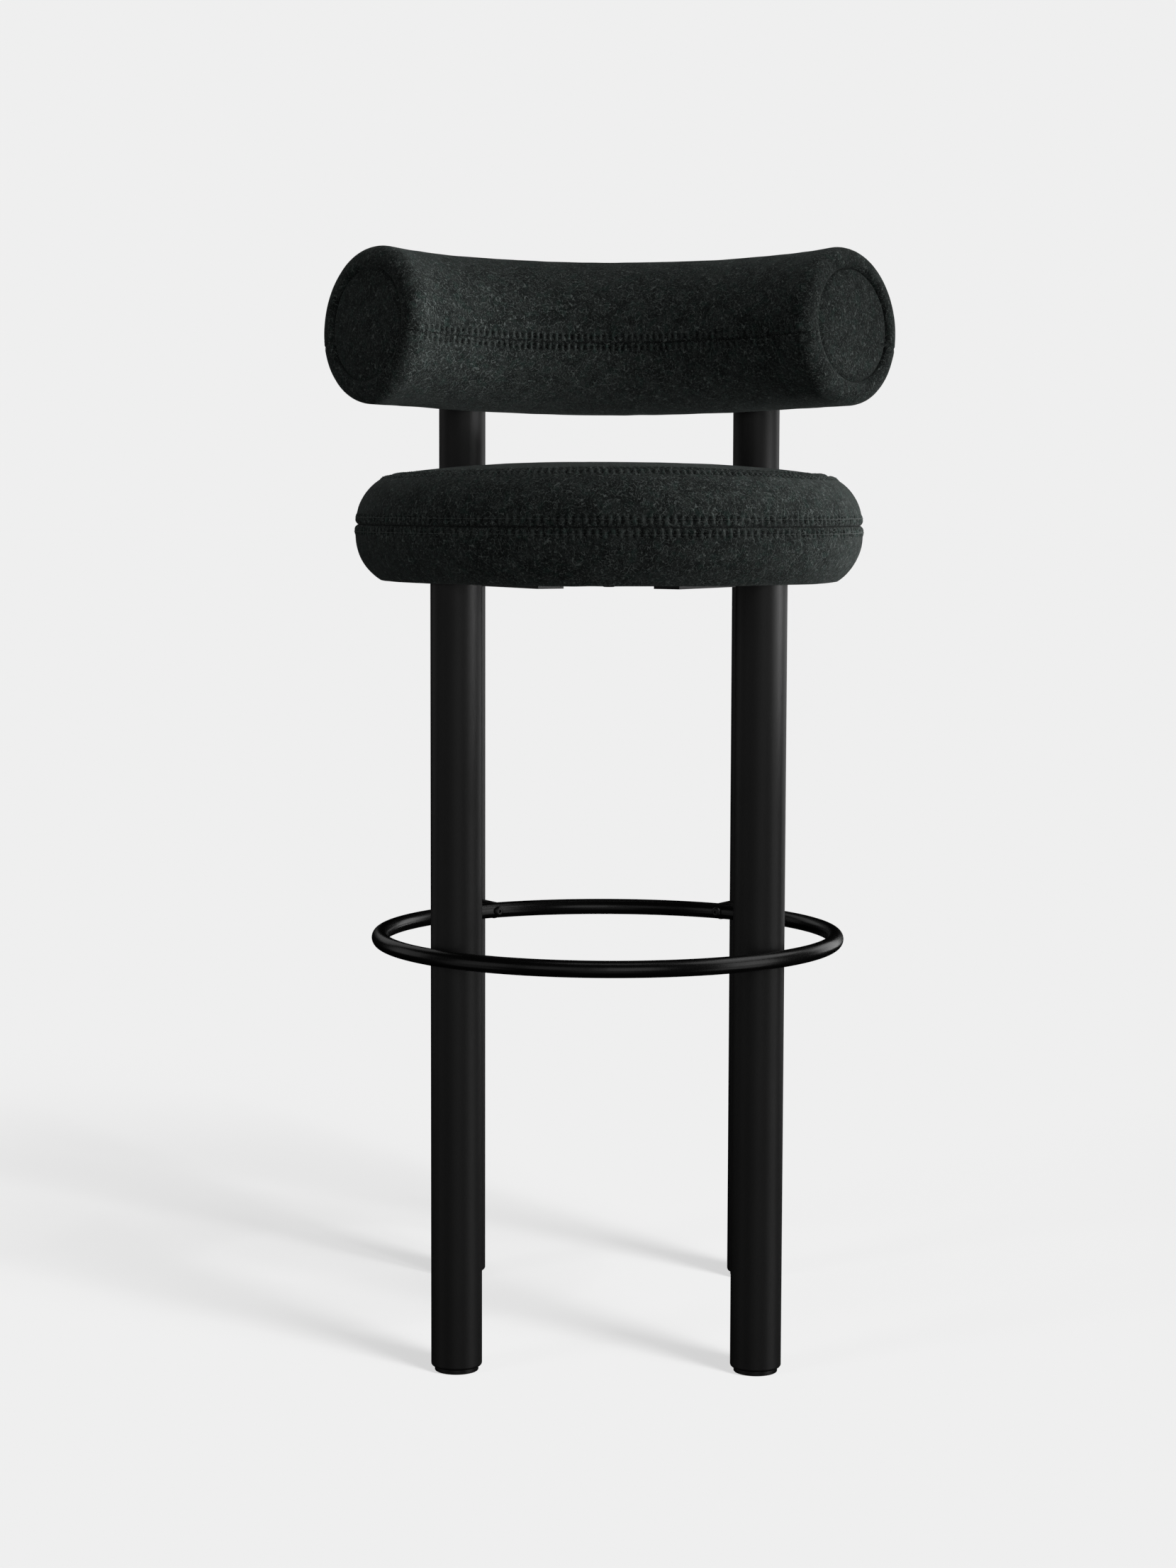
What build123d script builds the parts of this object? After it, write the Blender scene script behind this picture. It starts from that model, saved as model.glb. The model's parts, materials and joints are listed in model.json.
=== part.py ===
from build123d import *
import os
from math import cos, degrees, hypot, radians, sin

# Bar stool: four tube legs, a round footrest ring, a round padded seat and a curved bolster backrest.
# Millimetres. The origin is on the floor under the middle of the stool, +Y points to its back, +Z up.
# Left and right are as seen by somebody who stands in front of the stool.

# --- Legs: 42.4 x 2.6 steel tube, upright ---
leg_d, leg_wall = 42.4, 2.6
leg_edge_r = 2.4            # rounding of the tube's lower outer edge
front_leg = (124.5, -144.0)  # axis, the right-hand one
rear_leg = (134.5, 184.5)
leg_foot_z = 4.0            # the tube stops short of the floor by the glide's disc

# --- Feet: a plug in the tube and a screwed-in glide ---
glide_d, glide_edge_r = 36.4, 0.8
glide_stem_d, glide_stem_l = 8.0, 20.0
plug_l = 24.0

# --- Footrest: one solid bar bent to a ring, centred under the seat ---
seat_y = -32.0              # the vertical axis shared by the seat and the footrest ring
ring_z = 349.5
ring_bar_d = 14.0
ring_seating = 0.5          # depth of the flat that each front leg leaves in the bar
spacer_d = 15.0
ring_screw_d, ring_screw_head_d, ring_screw_head_h = 5.0, 8.6, 2.8
rear_ring_screw_l, front_ring_screw_l = 30.0, 50.0
screw_bridge = 0.06         # a flat head spans the ring's inner curve with this gap at its middle

# --- Seat frame: a plate on the front legs, with an arm to each rear leg ---
plate_r, plate_t = 189.0, 5.0
seat_bottom_z = 654.5
arm_w, arm_t, arm_inner_r = 26.0, 10.0, 96.0
saddle_w, saddle_h, saddle_t, saddle_wrap, saddle_corner_r = 30.0, 46.0, 10.0, 7.0, 3.0
saddle_bolt_pitch = 30.0
saddle_bolt_d, saddle_bolt_head_d, saddle_bolt_head_h = 6.0, 10.5, 3.3
cap_t = 8.0
leg_screw_d, leg_screw_head_d, leg_screw_l = 8.0, 16.0, 18.0

# --- Seat cushion ---
cover_t = 2.0               # felted wool cover with its scrim
hem_inner_r = 172.0
dust_cover_t = 1.0
board_r, board_t = 186.0, 12.0
board_fixing_r, board_fixing_count, board_fixing_turn = 90.0, 6, 30.0
board_screw_d, board_screw_head_d, board_screw_head_h = 6.0, 12.0, 3.3
tee_nut_d, tee_nut_flange_d, tee_nut_flange_t, tee_nut_l = 8.0, 19.0, 1.5, 9.0
crown_z = 752.5
top_seam_r, top_seam_z = 196.8, 737.5
mid_seam_r, mid_seam_z = 213.9, 701.4
upper_bulge, lower_bulge = 3.9, 7.8
bottom_edge_r = 194.0

# --- Backrest: a round bolster bent to an arc, its ends higher than its middle ---
bolster_r = 68.2
bolster_arc_r = 331.0       # radius of the bolster's centre line
bolster_half_angle = 41.0
bolster_mid_y, bolster_mid_z = 178.5, 868.0
bolster_tilt = 6.5
rim_r = 15.0                # rounding between the bolster's side and its end face
back_seam_drop = 14.2       # the cover's seam lies this far below the bolster's centre line
core_r, core_wall, core_arc_r, core_half_angle = 16.0, 2.0, 324.0, 33.0
socket_d, socket_clearance, socket_top_t = 48.3, 0.1, 4.0
socket_bottom_z, socket_top_z = 840.0, 886.0
grub_d, grub_l, grub_z, grub_inset = 6.0, 8.0, 852.0, 0.4
end_pocket_r = 50.0
end_panel_r, end_panel_t, end_panel_recess = 49.4, 3.0, 1.5
end_board_r, end_board_t = 49.0, 6.0

# --- Worked out from the above ---
leg_r = leg_d / 2
bore_r = leg_r - leg_wall
plate_top_z = seat_bottom_z + plate_t
hem_top_z = plate_top_z + cover_t
board_top_z = hem_top_z + board_t
arm_z = seat_bottom_z - arm_t / 2
saddle_z = seat_bottom_z - arm_t + saddle_h / 2  # the saddle rises from the arm's underside, behind the seat
leg_top_z = socket_top_z - socket_top_t
front_leg_reach = hypot(front_leg[0], front_leg[1] - seat_y)
rear_leg_reach = hypot(rear_leg[0], rear_leg[1] - seat_y)
ring_r = front_leg_reach + leg_r + ring_bar_d / 2 - ring_seating

sides = (("left", -1), ("right", 1))
seat_axis = Axis((0, seat_y, 0), (0, 0, 1))
seat_section = Plane.XZ.offset(-seat_y)
tilt = radians(bolster_tilt)
bolster = Plane((0, bolster_mid_y, bolster_mid_z), x_dir=(1, 0, 0), z_dir=(0, sin(tilt), cos(tilt)))
bolster_axis = Axis(bolster.from_local_coords((0, -bolster_arc_r, 0)), bolster.z_dir)


def save(part, name):
    """Label a finished piece and write it to its own file."""
    part.label = name
    export_step(part, f"parts/{name}.step")


def reach_plane(leg, side, z, reach):
    """Plane at a distance from the seat axis towards a leg: its Z points outwards, its X up."""
    out = Vector(side * leg[0], leg[1] - seat_y, 0).normalized()
    return Plane(Vector(0, seat_y, z) + out * reach, x_dir=(0, 0, 1), z_dir=out)


def floor_plane(leg, side, z):
    """Horizontal plane with its origin on a leg's axis."""
    return Plane((side * leg[0], leg[1], z))


def end_plane(side, inset=0.0):
    """Plane across the bolster at one end: Z points out of the end, X away from the arc's centre."""
    angle = radians(bolster_half_angle) - inset / bolster_arc_r
    out = bolster.x_dir * side * sin(angle) + bolster.y_dir * cos(angle)
    along = bolster.x_dir * side * cos(angle) - bolster.y_dir * sin(angle)
    centre = bolster.from_local_coords((0, -bolster_arc_r, 0)) + out * bolster_arc_r
    return Plane(centre, x_dir=out, z_dir=along)


def bolster_solid(radius, inset, rim):
    """The bolster's body: a round section swept along the arc, with rounded ends."""
    half = bolster_half_angle - degrees(inset / bolster_arc_r)
    with BuildPart() as body:
        with BuildSketch(end_plane(1, inset)):
            Circle(radius)
        revolve(axis=bolster_axis, revolution_arc=2 * half)
        ends = [e for e in body.edges().filter_by(GeomType.CIRCLE) if abs(e.radius - radius) < 0.01]
        fillet(ends, rim)
    return body.part


def core_bar(radius, hollow_r):
    """The bent bar inside the bolster, solid where hollow_r is zero."""
    angle = radians(core_half_angle)
    out = bolster.x_dir * sin(angle) + bolster.y_dir * cos(angle)
    along = bolster.x_dir * cos(angle) - bolster.y_dir * sin(angle)
    centre = bolster.from_local_coords((0, -bolster_arc_r, 0)) + out * core_arc_r
    with BuildPart() as bar:
        with BuildSketch(Plane(centre, x_dir=out, z_dir=along)):
            Circle(radius)
            if hollow_r > 0:
                Circle(hollow_r, mode=Mode.SUBTRACT)
        revolve(axis=bolster_axis, revolution_arc=2 * core_half_angle)
    return bar.part


def half_ring(side):
    """One half of the footrest ring, with its flat and tapped hole at the front and its rear hole."""
    with BuildPart() as half:
        with BuildSketch(Plane.YZ):
            with Locations((seat_y - ring_r, ring_z)):
                Circle(ring_bar_d / 2)
        revolve(axis=seat_axis, revolution_arc=side * 180)
        with BuildSketch(reach_plane(front_leg, side, ring_z, front_leg_reach)):
            Circle(ring_screw_d / 2)
        extrude(amount=front_ring_screw_l - leg_r, mode=Mode.SUBTRACT)
        with BuildSketch(floor_plane(front_leg, side, ring_z - ring_bar_d)):
            Circle(leg_r)
        extrude(amount=2 * ring_bar_d, mode=Mode.SUBTRACT)
        with BuildSketch(reach_plane(rear_leg, side, ring_z, ring_r)):
            Circle(ring_screw_d / 2)
        extrude(amount=ring_bar_d, both=True, mode=Mode.SUBTRACT)
    return half.part


def dome_screw(seat, shank_d, length, head_d, head_h):
    """Dome-headed socket screw: the head stands on the seat plane, the shank runs the other way."""
    with BuildPart() as screw:
        with BuildSketch(seat):
            Circle(head_d / 2)
        extrude(amount=head_h)
        fillet(screw.faces().sort_by(Axis(seat.origin, seat.z_dir))[-1].edges(), 0.75 * head_h)
        with BuildSketch(seat.offset(head_h)):
            RegularPolygon(0.55 * shank_d / 2, 6, major_radius=False)
        extrude(amount=-0.6 * head_h, mode=Mode.SUBTRACT)
        with BuildSketch(seat):
            Circle(shank_d / 2)
        extrude(amount=-length)
    return screw.part


def fixing_ring(z):
    """Locations of the seat board's fixings at a height."""
    turn = board_fixing_turn
    return [Plane((0, seat_y, z)) * PolarLocations(board_fixing_r, board_fixing_count, turn).locations[i]
            for i in range(board_fixing_count)]


os.makedirs("parts", exist_ok=True)

# --- Legs, their feet and the front legs' caps ---
for leg_name, leg, top_z in (("front", front_leg, seat_bottom_z), ("rear", rear_leg, leg_top_z)):
    for side_name, side in sides:
        with BuildPart() as tube:
            with BuildSketch(floor_plane(leg, side, leg_foot_z)):
                Circle(leg_r)
                Circle(bore_r, mode=Mode.SUBTRACT)
            extrude(amount=top_z - leg_foot_z)
            lower = tube.faces().sort_by(Axis.Z)[0].edges().sort_by(SortBy.RADIUS)[-1]
            fillet(lower, leg_edge_r)
            if leg_name == "front":
                # the footrest screw runs right through the tube
                with BuildSketch(reach_plane(leg, side, ring_z, front_leg_reach)):
                    Circle(ring_screw_d / 2)
                extrude(amount=leg_d, both=True, mode=Mode.SUBTRACT)
            else:
                # two bolts run through the tube to the arm's saddle
                with BuildSketch(reach_plane(leg, side, saddle_z, rear_leg_reach)):
                    with GridLocations(saddle_bolt_pitch, 0, 2, 1):
                        Circle(saddle_bolt_d / 2)
                extrude(amount=leg_d, both=True, mode=Mode.SUBTRACT)
                # the grub screw's tip bears in the tube's back
                with BuildSketch(Plane.XZ.offset(-leg[1])):
                    with Locations((side * leg[0], grub_z)):
                        Circle(grub_d / 2)
                extrude(amount=-leg_d, mode=Mode.SUBTRACT)
        save(tube.part, f"leg_{leg_name}_{side_name}")

        with BuildPart() as plug:
            with BuildSketch(floor_plane(leg, side, leg_foot_z)):
                Circle(bore_r)
                Circle(glide_stem_d / 2, mode=Mode.SUBTRACT)
            extrude(amount=plug_l)
            chamfer(plug.faces().sort_by(Axis.Z)[-1].edges().sort_by(SortBy.RADIUS)[-1], 1.5)
        save(plug.part, f"foot_plug_{leg_name}_{side_name}")

        with BuildPart() as glide:
            with BuildSketch(floor_plane(leg, side, 0)):
                Circle(glide_d / 2)
            extrude(amount=leg_foot_z)
            fillet(glide.edges().filter_by(GeomType.CIRCLE), glide_edge_r)
            with BuildSketch(floor_plane(leg, side, leg_foot_z)):
                Circle(glide_stem_d / 2)
            extrude(amount=glide_stem_l)
        save(glide.part, f"glide_{leg_name}_{side_name}")

for side_name, side in sides:
    with BuildPart() as cap:
        with BuildSketch(floor_plane(front_leg, side, seat_bottom_z)):
            Circle(bore_r)
            Circle(leg_screw_d / 2, mode=Mode.SUBTRACT)
        extrude(amount=-cap_t)
    save(cap.part, f"leg_cap_{side_name}")

# --- Footrest ring ---
with BuildPart() as footrest_ring:
    for side_name, side in sides:
        add(half_ring(side))
save(footrest_ring.part, "footrest_ring")

# --- Footrest spacers, welded to the rear legs and tapped for the ring's screws ---
rear_ring_screw_reach = ring_r - ring_bar_d / 2 - screw_bridge
for side_name, side in sides:
    with BuildPart() as spacer:
        with BuildSketch(reach_plane(rear_leg, side, ring_z, ring_r)):
            Circle(spacer_d / 2)
        extrude(amount=rear_leg_reach - ring_r)
        with BuildSketch(seat_section):
            with Locations((ring_r, ring_z)):
                Circle(ring_bar_d / 2)
        revolve(axis=seat_axis, mode=Mode.SUBTRACT)
        with BuildSketch(floor_plane(rear_leg, side, ring_z - spacer_d)):
            Circle(leg_r)
        extrude(amount=2 * spacer_d, mode=Mode.SUBTRACT)
        with BuildSketch(reach_plane(rear_leg, side, ring_z, rear_ring_screw_reach)):
            Circle(ring_screw_d / 2)
        extrude(amount=rear_ring_screw_l, mode=Mode.SUBTRACT)
    save(spacer.part, f"footrest_spacer_{side_name}")

with BuildPart() as footrest_rear_screws:
    for side_name, side in sides:
        inward = -reach_plane(rear_leg, side, ring_z, rear_ring_screw_reach)
        add(dome_screw(inward, ring_screw_d, rear_ring_screw_l, ring_screw_head_d, ring_screw_head_h))
save(footrest_rear_screws.part, "footrest_rear_screws")

with BuildPart() as footrest_front_screws:
    for side_name, side in sides:
        inward = -reach_plane(front_leg, side, ring_z, front_leg_reach - leg_r)
        add(dome_screw(inward, ring_screw_d, front_ring_screw_l, ring_screw_head_d, ring_screw_head_h))
save(footrest_front_screws.part, "footrest_front_screws")

# --- Seat frame ---
with BuildPart() as seat_plate:
    with BuildSketch(Plane((0, seat_y, seat_bottom_z))):
        Circle(plate_r)
    extrude(amount=plate_t)
    with Locations(*[floor_plane(front_leg, side, plate_top_z) for side_name, side in sides]):
        CounterSinkHole(leg_screw_d / 2, leg_screw_head_d / 2)
    with Locations(*fixing_ring(plate_top_z)):
        Hole(board_screw_d / 2)
save(seat_plate.part, "seat_plate")

for side_name, side in sides:
    with BuildPart() as arm:
        with BuildSketch(reach_plane(rear_leg, side, arm_z, arm_inner_r)):
            Rectangle(arm_t, arm_w)
        extrude(amount=rear_leg_reach - leg_r - saddle_t - arm_inner_r)
        with BuildSketch(reach_plane(rear_leg, side, saddle_z, rear_leg_reach - leg_r - saddle_t)):
            RectangleRounded(saddle_h, saddle_w, saddle_corner_r)
        extrude(amount=saddle_t + saddle_wrap)
        with BuildSketch(floor_plane(rear_leg, side, saddle_z - saddle_h)):
            Circle(leg_r)
        extrude(amount=2 * saddle_h, mode=Mode.SUBTRACT)
        with BuildSketch(reach_plane(rear_leg, side, saddle_z, rear_leg_reach - leg_r)):
            with GridLocations(saddle_bolt_pitch, 0, 2, 1):
                Circle(saddle_bolt_d / 2)
        extrude(amount=saddle_t, both=True, mode=Mode.SUBTRACT)
    save(arm.part, f"seat_arm_{side_name}")

with BuildPart() as saddle_bolts:
    for side_name, side in sides:
        for step in (-0.5, 0.5):
            bolt_z = saddle_z + step * saddle_bolt_pitch
            outward = reach_plane(rear_leg, side, bolt_z, rear_leg_reach + leg_r)
            add(dome_screw(outward, saddle_bolt_d, leg_d + saddle_t, saddle_bolt_head_d, saddle_bolt_head_h))
save(saddle_bolts.part, "saddle_bolts")

with BuildPart() as front_leg_screws:
    for side_name, side in sides:
        with BuildSketch(floor_plane(front_leg, side, plate_top_z)):
            Circle(leg_screw_head_d / 2)
        extrude(amount=-(leg_screw_head_d - leg_screw_d) / 2, taper=45)
        with BuildSketch(floor_plane(front_leg, side, plate_top_z)):
            Circle(leg_screw_d / 2)
        extrude(amount=-leg_screw_l)
        with BuildSketch(floor_plane(front_leg, side, plate_top_z)):
            RegularPolygon(leg_screw_d / 4, 6, major_radius=False)
        extrude(amount=-leg_screw_d / 3, mode=Mode.SUBTRACT)
save(front_leg_screws.part, "front_leg_screws")

# --- Seat board and its fixings ---
with BuildPart() as seat_board:
    with BuildSketch(Plane((0, seat_y, hem_top_z))):
        Circle(board_r)
    extrude(amount=board_t)
    with Locations(*fixing_ring(board_top_z)):
        Hole(tee_nut_d / 2)
save(seat_board.part, "seat_board")

with BuildPart() as seat_tee_nuts:
    for place in fixing_ring(board_top_z):
        with BuildSketch(Plane(place)):
            Circle(tee_nut_flange_d / 2)
        extrude(amount=tee_nut_flange_t)
        with BuildSketch(Plane(place)):
            Circle(tee_nut_d / 2)
        extrude(amount=-tee_nut_l)
        with BuildSketch(Plane(place).offset(tee_nut_flange_t)):
            Circle(board_screw_d / 2)
        extrude(amount=-(tee_nut_l + tee_nut_flange_t), mode=Mode.SUBTRACT)
save(seat_tee_nuts.part, "seat_tee_nuts")

with BuildPart() as seat_board_screws:
    for place in fixing_ring(seat_bottom_z):
        length = board_top_z - seat_bottom_z
        add(dome_screw(-Plane(place), board_screw_d, length, board_screw_head_d, board_screw_head_h))
save(seat_board_screws.part, "seat_board_screws")

with BuildPart() as seat_dust_cover:
    with BuildSketch(Plane((0, seat_y, plate_top_z))):
        Circle(hem_inner_r)
    extrude(amount=dust_cover_t)
    with Locations(*fixing_ring(plate_top_z + dust_cover_t)):
        Hole(board_screw_d / 2)
save(seat_dust_cover.part, "seat_dust_cover")

# --- Seat foam and cover: revolved outlines, the cover in three panels joined at the seams ---
crown, crown_in = (0, crown_z), (0, crown_z - cover_t)
top_seam = (top_seam_r, top_seam_z)
top_seam_in = (top_seam_r - cover_t / 2, top_seam_z - cover_t)
mid_seam, mid_seam_in = (mid_seam_r, mid_seam_z), (mid_seam_r - cover_t, mid_seam_z)
bottom_edge, bottom_edge_in = (bottom_edge_r, seat_bottom_z), (bottom_edge_r - cover_t / 2, hem_top_z)

with BuildPart() as seat_foam:
    with BuildSketch(seat_section):
        with BuildLine():
            TangentArc(crown_in, top_seam_in, tangent=(1, 0))
            SagittaArc(top_seam_in, mid_seam_in, upper_bulge)
            SagittaArc(mid_seam_in, bottom_edge_in, lower_bulge)
            Polyline(bottom_edge_in, (board_r, hem_top_z), (board_r, board_top_z), (0, board_top_z), crown_in)
        make_face()
    revolve(axis=seat_axis)
    for place in fixing_ring(board_top_z):
        with BuildSketch(Plane(place)):
            Circle(tee_nut_flange_d / 2)
        extrude(amount=tee_nut_flange_t, mode=Mode.SUBTRACT)
save(seat_foam.part, "seat_foam")

with BuildPart() as seat_cover_top:
    with BuildSketch(seat_section):
        with BuildLine():
            TangentArc(crown, top_seam, tangent=(1, 0))
            Line(top_seam, top_seam_in)
            TangentArc(crown_in, top_seam_in, tangent=(1, 0))
            Line(crown_in, crown)
        make_face()
    revolve(axis=seat_axis)
save(seat_cover_top.part, "seat_cover_top")

with BuildPart() as seat_cover_upper:
    with BuildSketch(seat_section):
        with BuildLine():
            SagittaArc(top_seam, mid_seam, upper_bulge)
            Line(mid_seam, mid_seam_in)
            SagittaArc(top_seam_in, mid_seam_in, upper_bulge)
            Line(top_seam_in, top_seam)
        make_face()
    revolve(axis=seat_axis)
save(seat_cover_upper.part, "seat_cover_upper")

with BuildPart() as seat_cover_lower:
    with BuildSketch(seat_section):
        with BuildLine():
            SagittaArc(mid_seam, bottom_edge, lower_bulge)
            Polyline(bottom_edge, (plate_r, seat_bottom_z), (plate_r, plate_top_z), (hem_inner_r, plate_top_z),
                     (hem_inner_r, hem_top_z), bottom_edge_in)
            SagittaArc(mid_seam_in, bottom_edge_in, lower_bulge)
            Line(mid_seam_in, mid_seam)
        make_face()
    revolve(axis=seat_axis)
save(seat_cover_lower.part, "seat_cover_lower")

# --- Backrest sockets on the rear legs, and the bent core that joins them ---
for side_name, side in sides:
    with BuildPart() as socket:
        with BuildSketch(floor_plane(rear_leg, side, socket_bottom_z)):
            Circle(socket_d / 2)
        extrude(amount=socket_top_z - socket_bottom_z)
        with BuildSketch(floor_plane(rear_leg, side, socket_bottom_z)):
            Circle(leg_r + socket_clearance)
        extrude(amount=leg_top_z - socket_bottom_z, mode=Mode.SUBTRACT)
        with BuildSketch(Plane.XZ.offset(-rear_leg[1])):
            with Locations((side * rear_leg[0], grub_z)):
                Circle(grub_d / 2)
        extrude(amount=-socket_d, mode=Mode.SUBTRACT)
    save(socket.part, f"backrest_socket_{side_name}")

with BuildPart() as socket_grub_screws:
    for side_name, side in sides:
        grub_plane = Plane.XZ.offset(grub_inset - rear_leg[1] - socket_d / 2)
        with BuildSketch(grub_plane):
            with Locations((side * rear_leg[0], grub_z)):
                Circle(grub_d / 2)
        extrude(amount=grub_l)
        with BuildSketch(grub_plane):
            with Locations((side * rear_leg[0], grub_z)):
                RegularPolygon(grub_d / 4, 6, major_radius=False)
        extrude(amount=grub_l / 3, mode=Mode.SUBTRACT)
save(socket_grub_screws.part, "socket_grub_screws")

with BuildPart() as backrest_core:
    add(core_bar(core_r, core_r - core_wall))
    for side_name, side in sides:
        with BuildSketch(floor_plane(rear_leg, side, socket_bottom_z)):
            Circle(socket_d / 2)
        extrude(amount=socket_top_z - socket_bottom_z, mode=Mode.SUBTRACT)
save(backrest_core.part, "backrest_core")

# --- Backrest foam, end boards and end panels ---
with BuildPart() as backrest_foam:
    add(bolster_solid(bolster_r - cover_t, cover_t, rim_r - cover_t))
    add(core_bar(core_r, 0), mode=Mode.SUBTRACT)
    for side_name, side in sides:
        with BuildSketch(floor_plane(rear_leg, side, socket_bottom_z)):
            Circle(socket_d / 2)
        extrude(amount=socket_top_z - socket_bottom_z, mode=Mode.SUBTRACT)
        with BuildSketch(floor_plane(rear_leg, side, socket_bottom_z)):
            Circle(leg_r)
        extrude(amount=-bolster_r, mode=Mode.SUBTRACT)
        with BuildSketch(end_plane(side)):
            Circle(end_pocket_r)
        extrude(amount=-(end_panel_recess + end_panel_t + end_board_t), mode=Mode.SUBTRACT)
save(backrest_foam.part, "backrest_foam")

for side_name, side in sides:
    with BuildPart() as end_board:
        with BuildSketch(end_plane(side).offset(-end_panel_recess - end_panel_t)):
            Circle(end_board_r)
        extrude(amount=-end_board_t)
    save(end_board.part, f"backrest_end_board_{side_name}")

    with BuildPart() as end_panel:
        with BuildSketch(end_plane(side).offset(-end_panel_recess)):
            Circle(end_panel_r)
        extrude(amount=-end_panel_t)
        fillet(end_panel.faces().sort_by(Axis((0, 0, 0), end_plane(side).z_dir))[-1].edges(), 1.5)
    save(end_panel.part, f"backrest_end_panel_{side_name}")

# --- Backrest cover: a sleeve in two panels, joined at the seam on the front and on the back ---
with BuildPart() as sleeve:
    add(bolster_solid(bolster_r, 0, rim_r))
    add(bolster_solid(bolster_r - cover_t, cover_t, rim_r - cover_t), mode=Mode.SUBTRACT)
    for side_name, side in sides:
        with BuildSketch(end_plane(side)):
            Circle(end_pocket_r)
        extrude(amount=-2 * cover_t, mode=Mode.SUBTRACT)
        with BuildSketch(floor_plane(rear_leg, side, socket_bottom_z)):
            Circle(leg_r)
        extrude(amount=-bolster_r, mode=Mode.SUBTRACT)

for panel_name, kept in (("upper", Keep.TOP), ("lower", Keep.BOTTOM)):
    with BuildPart() as panel:
        add(sleeve.part)
        split(bisect_by=bolster.offset(-back_seam_drop), keep=kept)
    save(panel.part, f"backrest_cover_{panel_name}")
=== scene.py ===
import json
import math

import bmesh
import bpy
import numpy as np
from mathutils import Matrix, Vector


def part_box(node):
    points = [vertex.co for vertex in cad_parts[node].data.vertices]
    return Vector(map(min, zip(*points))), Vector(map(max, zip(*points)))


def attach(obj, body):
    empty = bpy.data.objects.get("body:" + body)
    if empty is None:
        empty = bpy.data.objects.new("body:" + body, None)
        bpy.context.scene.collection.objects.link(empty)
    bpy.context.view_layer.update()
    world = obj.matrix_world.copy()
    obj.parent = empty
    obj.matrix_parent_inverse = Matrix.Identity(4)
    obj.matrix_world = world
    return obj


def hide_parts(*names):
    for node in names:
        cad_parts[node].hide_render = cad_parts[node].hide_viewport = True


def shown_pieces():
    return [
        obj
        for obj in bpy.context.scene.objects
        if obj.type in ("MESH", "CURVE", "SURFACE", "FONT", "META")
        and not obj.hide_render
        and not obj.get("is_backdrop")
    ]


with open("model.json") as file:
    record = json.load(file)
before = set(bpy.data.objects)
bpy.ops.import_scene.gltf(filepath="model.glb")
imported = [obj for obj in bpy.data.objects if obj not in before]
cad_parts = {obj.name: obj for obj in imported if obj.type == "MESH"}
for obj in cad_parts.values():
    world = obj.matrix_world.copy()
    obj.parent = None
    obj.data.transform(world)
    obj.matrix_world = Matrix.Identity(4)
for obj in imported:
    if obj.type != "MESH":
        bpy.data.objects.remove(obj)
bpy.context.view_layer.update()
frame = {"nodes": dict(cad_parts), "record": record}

# The bar stool's looks: camera and light, metal and wood finishes on the CAD nodes, and the felt
# upholstery, which is built here panel by panel. Metres, in the CAD frame.

MM = 0.001
rng = np.random.default_rng(7)

# --- Camera ---
CAMERA_PLACE = (-0.0016, -2.7326, 0.7256)
CAMERA_PITCH, CAMERA_YAW, CAMERA_ROLL = 5.19, 0.33, 0.184
CAMERA_LENS, SENSOR = 72.78, 36.0

# --- Stage and light ---
BACKDROP = 0.8632
FLOOR_ALBEDO = 0.34
FLOOR_HALF = 60.0
# Suns light the floor only: name, azimuth from the front towards +X, elevation, strength, disc angle,
# and whether the whole stool casts their shadow or only its legs and ring
SUNS = (
    ("leg_sun", 43.0, 42.0, 2.0, 14.0, False),
    ("seat_sun", 43.0, 42.0, 0.9, 26.0, True),
    ("fill_sun", -52.0, 33.0, 0.25, 16.0, True),
)
# Banks of equal soft boxes round the object: name, azimuths, elevation, radiant exitance
BOX_DISTANCE, BOX_WIDTH, BOX_HEIGHT = 3.0, 1.5, 1.8
BANKS = (
    ("left_wall", (-110.0, -60.0, -25.0), 5.0, 1.0),
    ("front", (10.0,), 5.0, 2.5),
    ("right_wall", (70.0, 135.0), 5.0, 4.0),
    ("right_high", (75.0, 110.0), 45.0, 3.5),
    ("back", (-150.0,), 25.0, 1.0),
    ("top", (0.0,), 88.0, 3.0),
    ("low_left", (-70.0, 0.0), -25.0, 0.5),
    ("low_right", (70.0,), -25.0, 2.0),
)
# Snooted lamps: place, aim, power, cone. One lights the backrest's inner curve, one the seat's side.
SNOOTS = (
    ((1.30, -0.95, 0.84), (-0.20, 0.0, 0.87), 60.0, 12.0),
    ((1.40, -0.20, 0.50), (0.21, -0.04, 0.70), 45.0, 20.0),
)
SNOOT_SIZE = 0.10
AIM = Vector((0.0, 0.0, 0.55))


def around(azimuth, elevation, distance):
    """Point seen from AIM at an azimuth and elevation."""
    a, e = math.radians(azimuth), math.radians(elevation)
    way = Vector((math.sin(a) * math.cos(e), -math.cos(a) * math.cos(e), math.sin(e)))
    return AIM + way * distance


def link(obj):
    """Puts a new object in the scene."""
    bpy.context.scene.collection.objects.link(obj)
    return obj


def make_camera():
    """The camera of the main view."""
    data = bpy.data.cameras.new("camera")
    data.lens, data.sensor_width, data.sensor_fit = CAMERA_LENS, SENSOR, "AUTO"
    data.clip_start, data.clip_end = 0.05, 300.0
    camera = link(bpy.data.objects.new("camera", data))
    turn = (
        Matrix.Rotation(math.radians(CAMERA_YAW), 4, "Z")
        @ Matrix.Rotation(math.radians(90.0 - CAMERA_PITCH), 4, "X")
        @ Matrix.Rotation(math.radians(CAMERA_ROLL), 4, "Z")
    )
    camera.matrix_world = Matrix.Translation(CAMERA_PLACE) @ turn
    bpy.context.scene.camera = camera


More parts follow.
